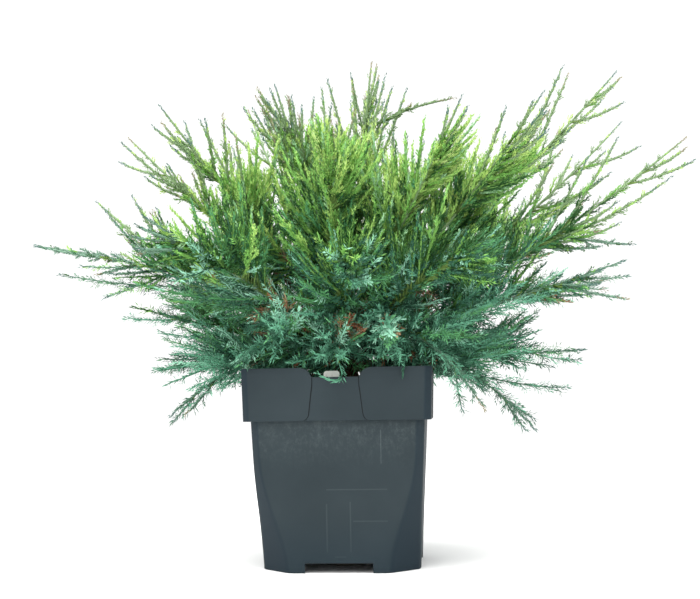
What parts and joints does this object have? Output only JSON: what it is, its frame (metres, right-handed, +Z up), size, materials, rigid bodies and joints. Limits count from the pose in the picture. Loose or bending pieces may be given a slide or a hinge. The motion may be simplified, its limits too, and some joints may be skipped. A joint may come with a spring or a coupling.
{
  "type": "potted sea green juniper",
  "caption": "Spreading evergreen shrub with arching plumes of green foliage, growing in a square grey plastic nursery pot.",
  "frame": {"origin": "centre of the pot's flat underside, on the ground", "axes": "+X to the right-hand side of the pot, along the crown's longest spread, -Y to the front, +Z up"},
  "size_m": [0.7901, 0.5434, 0.5808],
  "materials": {
    "pot": "matt, lightly scuffed",
    "soil": "coarse bark-based potting mix",
    "label": "blank, smooth",
    "bark": "stringy red-brown bark",
    "foliage_low": "blue-green needle leaves",
    "foliage_middle": "mid-green scale leaves",
    "foliage_upper": "yellow-green scale leaves"
  },
  "bodies": {
    "root": {"pot": "pot", "soil": "soil", "label": "label", "trunk": "bark", "bough_right_low": "bark", "foliage_right_low": "foliage_low", "bough_right_front_low": "bark", "foliage_right_front_low": "foliage_low", "bough_back_right_low": "bark", "foliage_back_right_low": "foliage_low", "bough_back_low": "bark", "foliage_back_low": "foliage_low", "bough_back_left_low": "bark", "foliage_back_left_low": "foliage_low", "bough_left_low": "bark", "foliage_left_low": "foliage_low", "bough_left_front_low": "bark", "foliage_left_front_low": "foliage_low", "bough_front_left_low": "bark", "foliage_front_left_low": "foliage_low", "bough_front_low": "bark", "foliage_front_low": "foliage_low", "bough_front_right_low": "bark", "foliage_front_right_low": "foliage_low", "bough_right_middle": "bark", "foliage_right_middle": "foliage_middle", "bough_right_sweep": "bark", "foliage_right_sweep": "foliage_middle", "bough_back_right_middle": "bark", "foliage_back_right_middle": "foliage_middle", "bough_back_middle": "bark", "foliage_back_middle": "foliage_middle", "bough_back_left_middle": "bark", "foliage_back_left_middle": "foliage_middle", "bough_left_middle": "bark", "foliage_left_middle": "foliage_middle", "bough_front_left_middle": "bark", "foliage_front_left_middle": "foliage_middle", "bough_front_middle": "bark", "foliage_front_middle": "foliage_middle", "bough_front_right_middle": "bark", "foliage_front_right_middle": "foliage_middle", "bough_right_front_upper": "bark", "foliage_right_front_upper": "foliage_upper", "bough_right_upper": "bark", "foliage_right_upper": "foliage_upper", "bough_back_right_upper": "bark", "foliage_back_right_upper": "foliage_upper", "bough_back_left_upper": "bark", "foliage_back_left_upper": "foliage_upper", "bough_left_upper": "bark", "foliage_left_upper": "foliage_upper", "bough_left_front_upper": "bark", "foliage_left_front_upper": "foliage_upper", "bough_front_upper": "bark", "foliage_front_upper": "foliage_upper", "bough_front_right_upper": "bark", "foliage_front_right_upper": "foliage_upper", "foliage_crown_left": "foliage_upper", "foliage_crown_right": "foliage_upper"}
  },
  "joints": []
}
